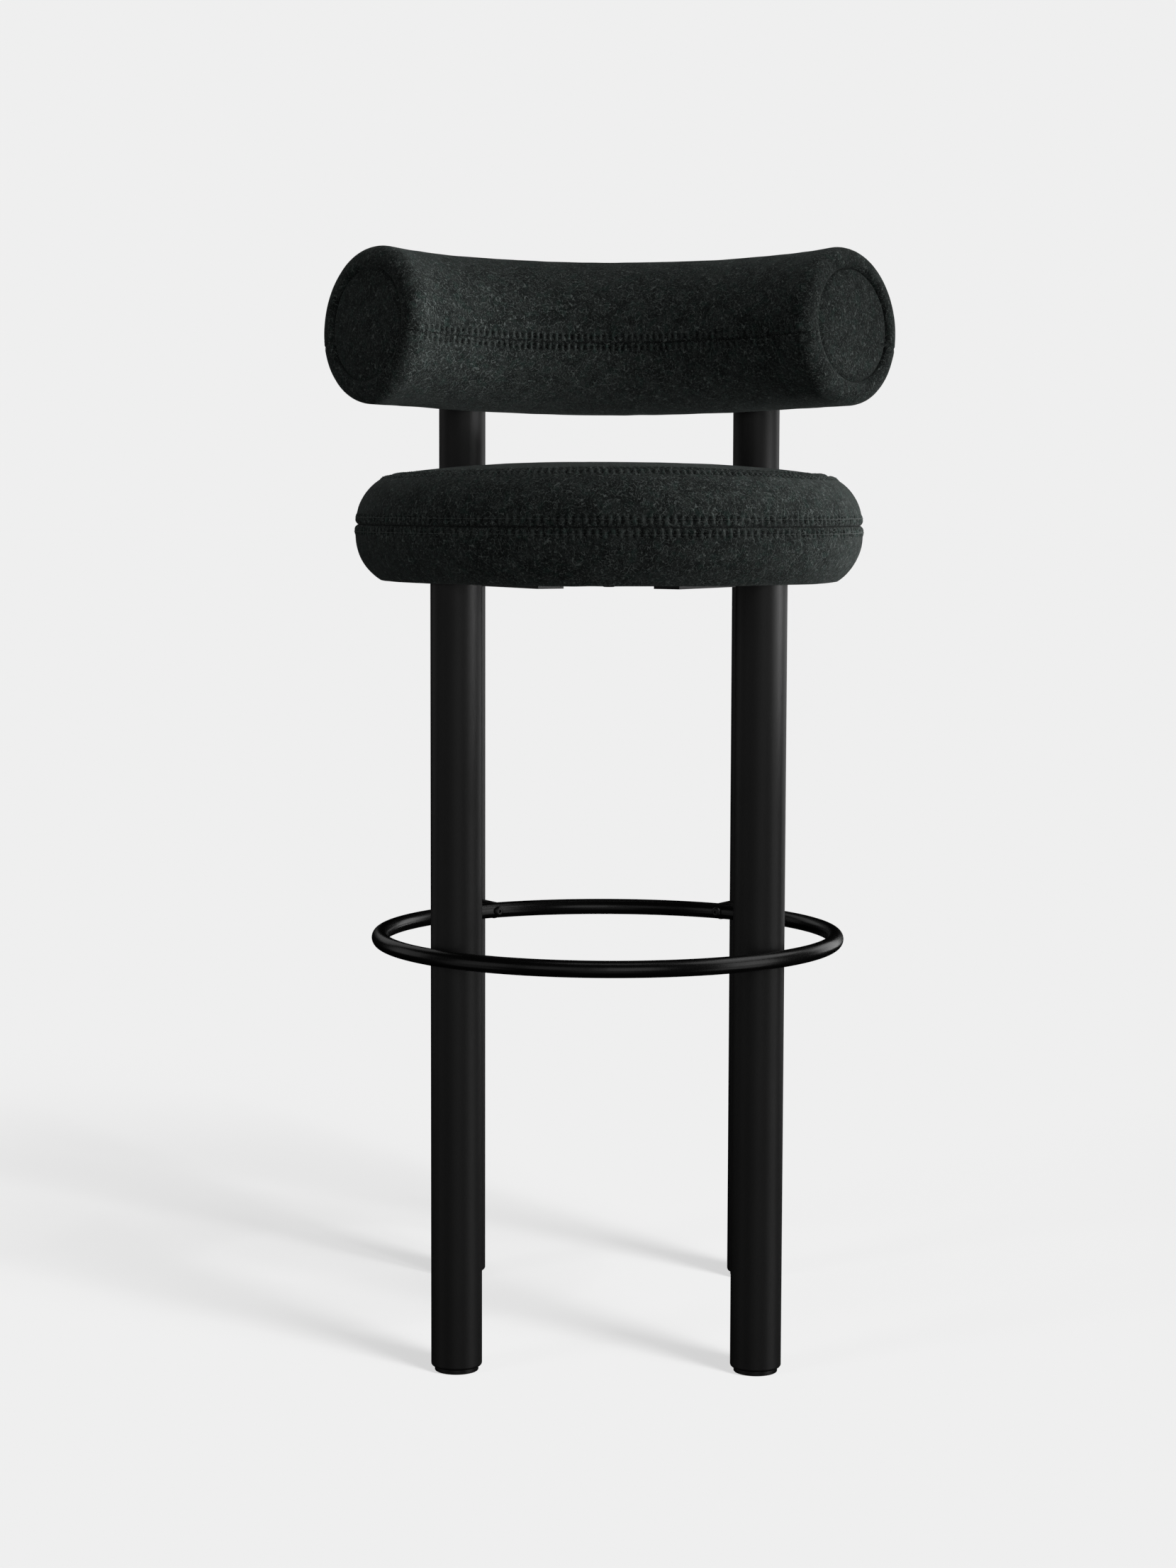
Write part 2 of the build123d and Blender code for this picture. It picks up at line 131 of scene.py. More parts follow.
def make_lamp(name, kind, azimuth, elevation, distance):
    """A lamp that looks at AIM."""
    lamp = link(bpy.data.objects.new(name, bpy.data.lights.new(name, kind)))
    lamp.location = around(azimuth, elevation, distance)
    lamp.rotation_euler = (AIM - lamp.location).to_track_quat("-Z", "Y").to_euler()
    lamp.visible_camera = False
    return lamp


def make_stage():
    """World, floor and lamps. The floor and the world have one brightness, so no horizon shows.
    Returns the collection that the soft boxes and snoots light."""
    scene = bpy.context.scene
    scene.view_settings.view_transform = "Standard"
    world = bpy.data.worlds.new("studio")
    scene.world = world
    world.use_nodes = True
    back = world.node_tree.nodes["Background"]
    back.inputs["Color"].default_value = (BACKDROP, BACKDROP, BACKDROP, 1.0)
    for ray in ("diffuse", "glossy", "transmission", "scatter"):
        setattr(world.cycles_visibility, ray, False)

    sunny = bpy.data.collections.new("lit_by_suns")
    slim = bpy.data.collections.new("legs_and_ring")
    for node_name, node in frame["nodes"].items():
        if node_name.startswith(("leg_", "glide_", "footrest_ring")):
            slim.objects.link(node)
    sunlit = 0.0
    for name, azimuth, elevation, strength, angle, whole in SUNS:
        sun = make_lamp(name, "SUN", azimuth, elevation, 4.0)
        sun.data.energy = strength
        sun.data.angle = math.radians(angle)
        sun.light_linking.receiver_collection = sunny
        if not whole:
            sun.light_linking.blocker_collection = slim
        sunlit += strength * math.sin(math.radians(elevation)) / math.pi

    mesh = bpy.data.meshes.new("floor")
    corners = [(x * FLOOR_HALF, y * FLOOR_HALF, 0.0) for x, y in ((-1, -1), (1, -1), (1, 1), (-1, 1))]
    mesh.from_pydata(corners, [], [(0, 1, 2, 3)])
    floor = link(bpy.data.objects.new("floor", mesh))
    floor.visible_diffuse = floor.visible_glossy = floor.visible_shadow = False
    sunny.objects.link(floor)
    floor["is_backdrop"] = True
    material = bpy.data.materials.new("floor_paint")
    material.use_nodes = True
    shader = material.node_tree.nodes["Principled BSDF"]
    glow = BACKDROP - FLOOR_ALBEDO * sunlit
    shader.inputs["Base Color"].default_value = (FLOOR_ALBEDO, FLOOR_ALBEDO, FLOOR_ALBEDO, 1.0)
    shader.inputs["Specular IOR Level"].default_value = 0.0
    shader.inputs["Roughness"].default_value = 1.0
    shader.inputs["Emission Color"].default_value = (1.0, 1.0, 1.0, 1.0)
    shader.inputs["Emission Strength"].default_value = glow
    mesh.materials.append(material)

    lit = bpy.data.collections.new("lit_by_softboxes")
    for name, azimuths, elevation, exitance in BANKS:
        for azimuth in azimuths:
            lamp = make_lamp(f"{name}_box", "AREA", azimuth, elevation, BOX_DISTANCE)
            lamp.data.shape = "RECTANGLE"
            lamp.data.size, lamp.data.size_y = BOX_WIDTH, BOX_HEIGHT
            lamp.data.energy = exitance * BOX_WIDTH * BOX_HEIGHT
            lamp.light_linking.receiver_collection = lit
    for count, (place, aim, power, cone) in enumerate(SNOOTS):
        snoot = make_lamp(f"snoot_{count}", "SPOT", 0.0, 0.0, 1.0)
        snoot.location = place
        snoot.rotation_euler = (Vector(aim) - snoot.location).to_track_quat("-Z", "Y").to_euler()
        snoot.data.energy = power
        snoot.data.spot_size, snoot.data.spot_blend = math.radians(cone), 1.0
        snoot.data.shadow_soft_size = SNOOT_SIZE
        snoot.light_linking.receiver_collection = lit
    return lit


# --- Node helpers ---
class Tree:
    """Short names for building a material's nodes."""

    def __init__(self, name):
        self.material = bpy.data.materials.new(name)
        self.material.use_nodes = True
        self.nodes = self.material.node_tree.nodes
        self.links = self.material.node_tree.links
        self.shader = self.nodes["Principled BSDF"]
        self.place = self.nodes.new("ShaderNodeTexCoord").outputs["Object"]

    def node(self, kind, **inputs):
        made = self.nodes.new("ShaderNode" + kind)
        for key, value in inputs.items():
            self.put(made, key.replace("_", " "), value)
        return made

    def put(self, node, key, value):
        socket = node.inputs[int(key) if key.isdigit() else key]
        if isinstance(value, bpy.types.NodeSocket):
            self.links.new(value, socket)
        else:
            socket.default_value = value

    def set(self, **inputs):
        for key, value in inputs.items():
            self.put(self.shader, key.replace("_", " "), value)

    def noise(self, scale, detail=2.0, roughness=0.5, vector=None):
        vector = self.place if vector is None else vector
        made = self.node("TexNoise", Vector=vector, Scale=scale, Detail=detail, Roughness=roughness)
        return made.outputs["Fac"]

    def math(self, operation, a, b=0.0, clamp=False):
        made = self.nodes.new("ShaderNodeMath")
        made.operation, made.use_clamp = operation, clamp
        self.put(made, "0", a)
        self.put(made, "1", b)
        return made.outputs[0]

    def ramp(self, value, low, high, to_low=0.0, to_high=1.0):
        made = self.nodes.new("ShaderNodeMapRange")
        made.interpolation_type = "SMOOTHSTEP"
        for key, number in (("From Min", low), ("From Max", high), ("To Min", to_low), ("To Max", to_high)):
            made.inputs[key].default_value = number
        self.put(made, "Value", value)
        return made.outputs["Result"]

    def mix(self, factor, a, b, blend="MIX"):
        made = self.nodes.new("ShaderNodeMix")
        made.data_type, made.blend_type = "RGBA", blend
        self.put(made, "0", factor)
        self.put(made, "6", a)
        self.put(made, "7", b)
        return made.outputs[2]

    def shift(self, offset, scale=(1.0, 1.0, 1.0), turn=(0.0, 0.0, 0.0)):
        made = self.node("Mapping", Vector=self.place)
        made.inputs["Location"].default_value = offset
        made.inputs["Rotation"].default_value = turn
        made.inputs["Scale"].default_value = scale
        return made.outputs[0]

    def bump(self, height, distance, strength=1.0):
        made = self.node("Bump", Height=height, Distance=distance, Strength=strength)
        self.links.new(made.outputs[0], self.shader.inputs["Normal"])


def grey(r, g=None, b=None):
    """An RGBA colour."""
    return (r, r if g is None else g, r if b is None else b, 1.0)


def powder_coat(name, dark, light, rough, grain, depth):
    """Black coat with a fine orange-peel or sand texture and faint handling marks."""
    t = Tree(name)
    fine = t.noise(1.0 / (grain * MM), 2.0, 0.55)
    wide = t.noise(9.0, 3.0, 0.6)
    rub = t.ramp(t.noise(38.0, 4.0, 0.65, t.shift((3.1, 1.7, 0.4), (1.0, 1.0, 0.25))), 0.55, 0.78)
    t.set(Base_Color=t.mix(t.ramp(wide, 0.3, 0.7), dark, light))
    soft = t.math("MULTIPLY", rub, 0.05)
    speckle = t.math("MULTIPLY", t.math("SUBTRACT", fine, 0.5), 0.12)
    t.set(Roughness=t.math("ADD", t.math("ADD", soft, speckle), rough))
    t.set(Specular_IOR_Level=0.5)
    t.bump(fine, depth * MM)
    return t.material


def metal(name, colour, rough, stretch):
    """Plated or raw steel with drawn scratches."""
    t = Tree(name)
    streak = t.noise(400.0, 3.0, 0.6, t.shift((0.2, 0.1, 0.3), stretch))
    cloud = t.noise(30.0, 3.0, 0.6)
    t.set(Base_Color=t.mix(cloud, colour, tuple(0.8 * c for c in colour[:3]) + (1.0,)))
    t.set(Metallic=1.0)
    t.set(Roughness=t.ramp(streak, 0.2, 0.8, rough - 0.08, rough + 0.1))
    t.bump(streak, 0.02 * MM)
    return t.material


def moulded(name, colour, rough):
    """Black moulded plastic with a spark-eroded skin."""
    t = Tree(name)
    skin = t.noise(2200.0, 2.0, 0.5)
    t.set(Base_Color=t.mix(t.noise(60.0, 2.0), colour, tuple(1.5 * c for c in colour[:3]) + (1.0,)))
    t.set(Roughness=t.ramp(skin, 0.3, 0.7, rough - 0.06, rough + 0.06))
    t.bump(skin, 0.03 * MM)
    return t.material


def plywood(name):
    """Birch plywood: thin glue lines between veneers, grain along one way."""
    t = Tree(name)
    split = t.nodes.new("ShaderNodeSeparateXYZ")
    t.links.new(t.place, split.inputs[0])
    plies = t.math("SINE", t.math("MULTIPLY", split.outputs["Z"], 2 * math.pi / (1.5 * MM)))
    grain = t.noise(90.0, 5.0, 0.6, t.shift((0.0, 0.0, 0.0), (0.08, 1.0, 1.0)))
    wood = t.mix(grain, grey(0.46, 0.33, 0.19), grey(0.62, 0.47, 0.30))
    t.set(Base_Color=t.mix(t.ramp(plies, 0.55, 0.95, 0.0, 0.5), wood, grey(0.20, 0.12, 0.06)))
    t.set(Roughness=t.ramp(grain, 0.2, 0.8, 0.55, 0.7))
    t.bump(grain, 0.08 * MM)
    return t.material


def non_woven(name):
    """Black spun-bonded cloth with pressed dots."""
    t = Tree(name)
    cells = t.node("TexVoronoi", Vector=t.place, Scale=650.0)
    dots = t.ramp(cells.outputs["Distance"], 0.15, 0.45)
    t.set(Base_Color=t.mix(dots, grey(0.012), grey(0.035)), Roughness=0.9)
    t.bump(dots, 0.08 * MM)
    return t.material


# Painted light: how much paler the crests of the puckers are painted (painted highlight), and how much
# darker the seam is painted (painted shade)
CREST_PAINTED_LIGHT = 1.7
# Felt fibres: layers of thin curling lines. Curl size in mm, line width, share left out, brightness.
FIBRE_LAYERS = (
    (5.6, 0.022, 0.52, 1.0),
    (3.6, 0.034, 0.55, 0.7),
    (2.2, 0.050, 0.54, 0.6),
    (7.6, 0.016, 0.58, 1.0),
)


def felt(name, offset, dark, light, green, fibre):
    """Milled wool: a mottled charcoal ground, a fine nap and pale curling fibres on top, with painted
    highlight on the puckers' crests and painted shade in the seams.
    """
    t = Tree(name)
    base = t.shift(offset)
    clouds = t.noise(75.0, 3.0, 0.62, base)
    patch = t.noise(130.0, 2.0, 0.6, t.shift([o + 2.3 for o in offset]))
    nap = t.noise(1500.0, 2.0, 0.7, base)
    ground = t.mix(t.ramp(clouds, 0.36, 0.64), dark, light)
    ground = t.mix(t.ramp(patch, 0.5, 0.68, 0.0, 0.6), ground, green)
    tufts = t.noise(520.0, 3.0, 0.75, t.shift([o + 8.0 for o in offset]))
    speckle = t.math("MULTIPLY", t.ramp(nap, 0.3, 0.75, 0.6, 1.4), t.ramp(tufts, 0.34, 0.66, 0.5, 1.6))
    # Painted light from the crest mask: painted highlight on the puckers' crests, painted shade in the seam
    # line and between the puckers
    crest = t.nodes.new("ShaderNodeAttribute")
    crest.attribute_name = "crest"
    painted_crest_light = t.math("ADD", t.math("MULTIPLY", crest.outputs["Fac"], CREST_PAINTED_LIGHT), 1.0)
    speckle = t.math("MULTIPLY", speckle, painted_crest_light)
    shade = t.node("CombineColor", Red=speckle, Green=speckle, Blue=speckle)
    ground = t.mix(1.0, ground, shade.outputs[0], "MULTIPLY")
    hairs = None
    for count, (size, width, keep, bright) in enumerate(FIBRE_LAYERS):
        away = [o + 1.7 * count + 0.9 for o in offset]
        turn = (0.7 * count, 1.1 * count + 0.4, 0.5 * count)
        place = t.shift(away, (1.0, 1.35, 0.8), turn)
        curl = t.noise(1.0 / (size * MM), 1.0, 0.4, place)
        line = t.math("ABSOLUTE", t.math("SUBTRACT", curl, 0.5))
        line = t.ramp(line, 0.25 * width, width, 1.0, 0.0)
        drift = t.noise(1.7 / (size * MM), 1.0, 0.5, t.shift([o + 5.0 for o in away]))
        kept = t.ramp(drift, keep - 0.05, keep + 0.05)
        layer = t.math("MULTIPLY", t.math("MULTIPLY", line, kept), bright)
        hairs = layer if hairs is None else t.math("MAXIMUM", hairs, layer)
    t.set(Base_Color=t.mix(hairs, ground, fibre))
    t.set(Roughness=t.ramp(nap, 0.3, 0.7, 0.86, 1.0))
    t.set(Specular_IOR_Level=0.18)
    t.set(Sheen_Weight=0.12, Sheen_Roughness=0.45, Sheen_Tint=grey(0.75, 0.85, 0.82))
    relief = t.math("ADD", t.math("MULTIPLY", nap, 0.5), t.math("MULTIPLY", hairs, 0.5))
    relief = t.math("ADD", relief, t.math("MULTIPLY", t.noise(420.0, 2.0, 0.6, base), 0.9))
    t.bump(relief, 0.45 * MM)
    return t.material


def thread(name, dark, light):
    """Polyester sewing thread with its twist."""
    t = Tree(name)
    twist = t.noise(2600.0, 1.0, 0.5)
    t.set(Base_Color=t.mix(t.ramp(twist, 0.3, 0.7), dark, light))
    t.set(Roughness=0.62, Specular_IOR_Level=0.4, Sheen_Weight=0.1)
    t.bump(twist, 0.1 * MM)
    return t.material


# --- Smooth noise for the fabric's unevenness ---
LATTICE = rng.random((32, 32, 32))


def value_noise(points, scale):
    """Smooth noise in -1..1 at points; features are about scale metres across."""
    p = points / scale + 100.0
    cell = np.floor(p).astype(int)
    f = p - cell
    f = f * f * (3.0 - 2.0 * f)
    total = np.zeros(p.shape[:-1])
    for corner in np.ndindex(2, 2, 2):
        index = (cell + corner) % 32
        weight = np.prod(np.where(corner, f, 1.0 - f), axis=-1)
        total += weight * LATTICE[index[..., 0], index[..., 1], index[..., 2]]
    return 2.0 * total - 1.0


def grid_normals(grid, wrap, centre):
    """Normals that point away from centre. The grid's rows are axis 0 and its columns axis 1."""
    if wrap:
        along = np.roll(grid, -1, axis=1) - np.roll(grid, 1, axis=1)
    else:
        along = np.gradient(grid, axis=1)
    across = np.gradient(grid, axis=0)
    normal = np.cross(along, across)
    length = np.linalg.norm(normal, axis=-1, keepdims=True)
    normal = normal / np.maximum(length, 1e-12)
    return normal if (normal * (grid - centre)).sum() > 0 else -normal


def mesh_object(name, points, faces, material=None):
    """A new smooth mesh object from points and faces, its faces turned outwards."""
    mesh = bpy.data.meshes.new(name)
    mesh.from_pydata(np.asarray(points).tolist(), [], faces)
    turned = bmesh.new()
    turned.from_mesh(mesh)
    bmesh.ops.recalc_face_normals(turned, faces=turned.faces)
    turned.to_mesh(mesh)
    turned.free()
    if material:
        mesh.materials.append(material)
    mesh.polygons.foreach_set("use_smooth", [True] * len(mesh.polygons))
    mesh.update()
    return link(bpy.data.objects.new(name, mesh))


def grid_faces(rows, columns, wrap_rows, wrap_columns):
    """Quads of a grid, closed where asked."""
    faces = []
    for r in range(rows if wrap_rows else rows - 1):
        below = ((r + 1) % rows) * columns
        for c in range(columns if wrap_columns else columns - 1):
            d = (c + 1) % columns
            faces.append((r * columns + c, r * columns + d, below + d, below + c))
    return faces


# --- Cloth: the panels swell between their seams ---
CLOTH_FRAMES = 20
SEAT_PRESSURE, BACK_PRESSURE = 20.0, 400.0  # the tight round bolster needs far more to move


def swell(name, grid, pinned, pressure, cap):
    """How far each grid point moves out when the closed skin is blown up with its seams held.
    The skin's columns run round it, and a fan closes each end."""
    rows, columns = grid.shape[:2]
    points = grid.reshape(-1, 3)
    centre = points.mean(0)
    first, last = len(points), len(points) + 1
    faces = grid_faces(rows, columns, False, True)
    for c in range(columns):
        d = (c + 1) % columns
        faces.append((first, d, c))
        faces.append((last, (rows - 1) * columns + c, (rows - 1) * columns + d))
    points = np.vstack([points, points[:columns].mean(0), points[-columns:].mean(0)])
    skin = mesh_object("cloth_skin", points, faces)
    pins = skin.vertex_groups.new(name="pins")
    pins.add(np.flatnonzero(pinned.ravel()).tolist() + [first, last], 1.0, "REPLACE")
    cloth = skin.modifiers.new("cloth", "CLOTH").settings
    cloth.quality = 5
    cloth.mass = 0.3
    cloth.tension_stiffness = cloth.compression_stiffness = 18.0
    cloth.shear_stiffness = 8.0
    cloth.bending_stiffness = 1.5
    cloth.use_pressure = True
    cloth.uniform_pressure_force = pressure
    cloth.effector_weights.gravity = 0.0
    cloth.vertex_group_mass = "pins"
    for step in range(1, CLOTH_FRAMES + 1):
        bpy.context.scene.frame_set(step)
    blown = skin.evaluated_get(bpy.context.evaluated_depsgraph_get()).to_mesh()
    after = np.zeros(len(points) * 3)
    blown.vertices.foreach_get("co", after)
    moved = after.reshape(-1, 3)[:first].reshape(rows, columns, 3) - grid
    bpy.data.objects.remove(skin)
    bpy.context.scene.frame_set(1)
    out = (moved * grid_normals(grid, True, centre)).sum(-1)
    print(name, "swells by", round(out.mean() / MM, 2), "mm, at most", round(out.max() / MM, 2))
    return cap * np.tanh(out / cap)


def read_grid(grid, rows_at, columns_at, wrap):
    """Values of a grid between its points, at matching lists of row and column places."""
    rows, columns = grid.shape[:2]
    r = np.clip(np.floor(rows_at).astype(int), 0, rows - 2)
    c = np.floor(columns_at).astype(int)
    c = c if wrap else np.clip(c, 0, columns - 2)
    fr, fc = rows_at - r, columns_at - c
    if grid.ndim == 3:
        fr, fc = fr[..., None], fc[..., None]
    near, far = c % columns, (c + 1) % columns
    low = grid[r, near] * (1 - fc) + grid[r, far] * fc
    high = grid[r + 1, near] * (1 - fc) + grid[r + 1, far] * fc
    return low * (1 - fr) + high * fr


# --- Seams ---
SEAT_ROW_GAP = 6.0 * MM     # from the seam to the row of topstitching
SEAM_ZONE = 12.0 * MM       # finely meshed strip along a seam
FINE, COARSE = 0.8 * MM, 3.5 * MM
SEAM_DEPTH = 1.1 * MM       # how far the panel's edge turns in
LIP = 1.0 * MM
ROW_DEPTH = 0.7 * MM
RIB_HEIGHT = 1.9 * MM
SEAT_THREAD_R, BACK_THREAD_R = 0.30 * MM, 0.22 * MM
# one stitch: places along its pitch, and how far its middle line stands out of the cloth there
STITCH_PLACES = np.array([0.03, 0.16, 0.5, 0.84, 0.97])
STITCH_RISE = np.array([-0.495, 0.055, 0.2475, 0.055, -0.495]) * MM


def seam_relief(distance, phase, row_gap, strength):
    """Depth of the fabric near a sewn seam, and how much of a pucker's crest each point is, -1 to 1, used
    as a mask for painted highlight on the crests and painted shade in the seam.
    distance: to the seam; phase: stitches along it; strength: per column, for unevenness."""
    d = np.abs(distance)
    turn_in = SEAM_DEPTH * np.exp(-((d / LIP) ** 1.4))
    valley = np.exp(-(((d - row_gap) / (1.6 * MM)) ** 2))
    between = (0.5 - 0.5 * np.cos(2 * np.pi * phase)) ** 1.5
    rib = 1.0 / (1.0 + np.exp((d - row_gap - 2.2 * MM) / (0.5 * MM)))
    rib *= 1.0 - np.exp(-((d / (2.4 * MM)) ** 2))
    pulled = valley * ROW_DEPTH * (1.0 - 0.6 * between)
    depth = turn_in + pulled - rib * RIB_HEIGHT * (between - 0.42) * strength
    # Mask for painted light: positive on the puckers' crests (painted highlight), negative between them and
    # in the seam line (painted shade)
    crest = rib * (between - 0.3) * np.clip(strength, 0.0, 1.5) - 0.5 * np.exp(-((d / MM) ** 2))
    return depth, crest


def stepped(length, fine_low, fine_high, fine, coarse):
    """Places from 0 to length: fine steps near the ends that carry a seam, coarse ones between."""
    low = np.arange(0.0, fine_low, fine) if fine_low else np.array([0.0])
    high = length - np.arange(0.0, fine_high, fine)[::-1] if fine_high else np.array([length])
    start, stop = low[-1], high[0]
    count = max(int(math.ceil((stop - start) / coarse)), 1)
    middle = np.linspace(start, stop, count + 1)[1:-1]
    return np.concatenate([low, middle, high])


# --- Seat ---
top_low, top_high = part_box("seat_cover_top")
upper_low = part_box("seat_cover_upper")[0]
lower_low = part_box("seat_cover_lower")[0]
plate_low, plate_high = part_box("seat_plate")
SEAT_Y = (plate_low.y + plate_high.y) / 2
TOP_SEAM = (top_high.x - 11.0 * MM, top_low.z + 6.5 * MM)
MID_SEAM = (213.9 * MM, upper_low.z)
SEAT_EDGE = (194.0 * MM, lower_low.z)
CROWN = top_high.z
UPPER_BULGE, LOWER_BULGE = 8.5 * MM, 7.8 * MM
FRONT_LIFT, SIDE_LIFT = 6.0 * MM, 0.5 * MM  # how far the puffed crown pulls the top seam up
HEM_R = 172.0 * MM
SEAT_STITCHES = 210
SEAT_COLUMNS = SEAT_STITCHES * 6


def bulged(a, b, sagitta, count):
    """Points of an arc from a to b that stands out from its chord by sagitta."""
    a, b = np.array(a), np.array(b)
    chord = b - a
    length = np.linalg.norm(chord)
    radius = (length**2 / 4 + sagitta**2) / (2 * sagitta)
    out = np.array([-chord[1], chord[0]]) / length
    centre = (a + b) / 2 + out * (sagitta - radius)
    start, stop = a - centre, b - centre
    angle_a, angle_b = math.atan2(start[1], start[0]), math.atan2(stop[1], stop[0])
    angles = np.linspace(angle_a, angle_b, count)
    return centre + radius * np.stack([np.cos(angles), np.sin(angles)], -1)


def dome(count):
    """The crown's outline from the axis to the top seam."""
    r = np.linspace(0.0, TOP_SEAM[0], count)
    rise = CROWN - TOP_SEAM[1]
    radius = (TOP_SEAM[0] ** 2 + rise**2) / (2 * rise)
    return np.stack([r, CROWN - radius + np.sqrt(radius**2 - r**2)], -1)


def lengths(line):
    """Distance along a line to each of its points."""
    steps = np.linalg.norm(np.diff(line, axis=0), axis=1)
    return np.concatenate([[0.0], np.cumsum(steps)])


def along(line, places):
    """Points of a line at distances along it."""
    run = lengths(line)
    return np.stack([np.interp(places, run, line[:, k]) for k in range(line.shape[1])], -1)


def revolved(outline, columns):
    """The outline turned round the seat's axis, rows along the outline."""
    turn = 2 * np.pi * np.arange(columns) / columns
    r, z = outline[:, 0][:, None], outline[:, 1][:, None]
    x = r * np.sin(turn)
    y = SEAT_Y - r * np.cos(turn)
    return np.stack([x, y, np.broadcast_to(z, x.shape)], -1)


seat_outline_top = dome(400)
seat_outline_upper = bulged(TOP_SEAM, MID_SEAM, UPPER_BULGE, 200)
seat_outline_lower = bulged(MID_SEAM, SEAT_EDGE, LOWER_BULGE, 200)


def finish_pad(name, points, faces, material, fill, crest, *stands_for):
    pad = mesh_object(name, points, faces, material)
    values = np.zeros(len(points))
    values[: crest.size] = crest.ravel()
    # The crest attribute carries the painted highlight and painted shade that the felt material paints near
    # the seams
    pad.data.attributes.new("crest", "FLOAT", "POINT").data.foreach_set("value", values)
    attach(pad, "root")
    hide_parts(*stands_for)
    return pad


def unevenness(grid):
    """Slow and quick waviness of hand-pulled fabric."""
    return 0.35 * MM * value_noise(grid, 0.045) + 0.20 * MM * value_noise(grid + 7.0, 0.014)


def stitch_row(name, grid, rows_at, phases_to_columns, count, wrap, centre, radius, material):
    """A row of stitches: each one a short thread that dives into the cloth at both ends."""
    normal = grid_normals(grid, wrap, centre)
    phase = np.arange(count)[:, None] + STITCH_PLACES[None, :]
    column = phases_to_columns(phase)
    row = np.full_like(column, rows_at)
    out = read_grid(normal, row, column, wrap)
    spine = read_grid(grid, row, column, wrap) + out * STITCH_RISE[None, :, None]
    way = np.gradient(spine, axis=1)
    way /= np.linalg.norm(way, axis=-1, keepdims=True)
    side = np.cross(way, out)
    side /= np.linalg.norm(side, axis=-1, keepdims=True)
    up = np.cross(side, way)
    sides = 5
    turn = 2 * np.pi * np.arange(sides) / sides
    rise, swing = np.cos(turn)[None, None, :, None], np.sin(turn)[None, None, :, None]
    ring = rise * up[:, :, None] + swing * side[:, :, None]
    points = (spine[:, :, None] + radius * ring).reshape(-1, 3)
    faces = []
    steps = len(STITCH_PLACES)
    for stitch in range(count):
        start = stitch * steps * sides
        tube = [[start + a for a in face] for face in grid_faces(steps, sides, False, True)]
        faces.extend(tube)
        faces.append([start + k for k in range(sides)])
        faces.append([start + (steps - 1) * sides + k for k in reversed(range(sides))])
    row_piece = mesh_object(name, points, faces, material)
    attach(row_piece, "root")
    return row_piece


def seat_swell():
    """Simulated swelling of the whole seat skin, with the places of its rows along the outline."""
    top = seat_outline_top[8:]
    lengths_of = [lengths(part)[-1] for part in (top, seat_outline_upper, seat_outline_lower)]
    whole = np.vstack([top, seat_outline_upper[1:], seat_outline_lower[1:]])
    counts = (33, 8, 11)
    places, seams, start = [0.0], [0], 0.0
    for length, count in zip(lengths_of, counts):
        places.extend(start + length * (np.arange(count) + 1) / count)
        seams.append(len(places) - 1)
        start += length
    coarse = revolved(along(whole, np.array(places)), 210)
    pinned = np.zeros(coarse.shape[:2], bool)
    pinned[seams] = True
    return np.array(places), swell("seat skin", coarse, pinned, SEAT_PRESSURE, 3.0 * MM), lengths_of


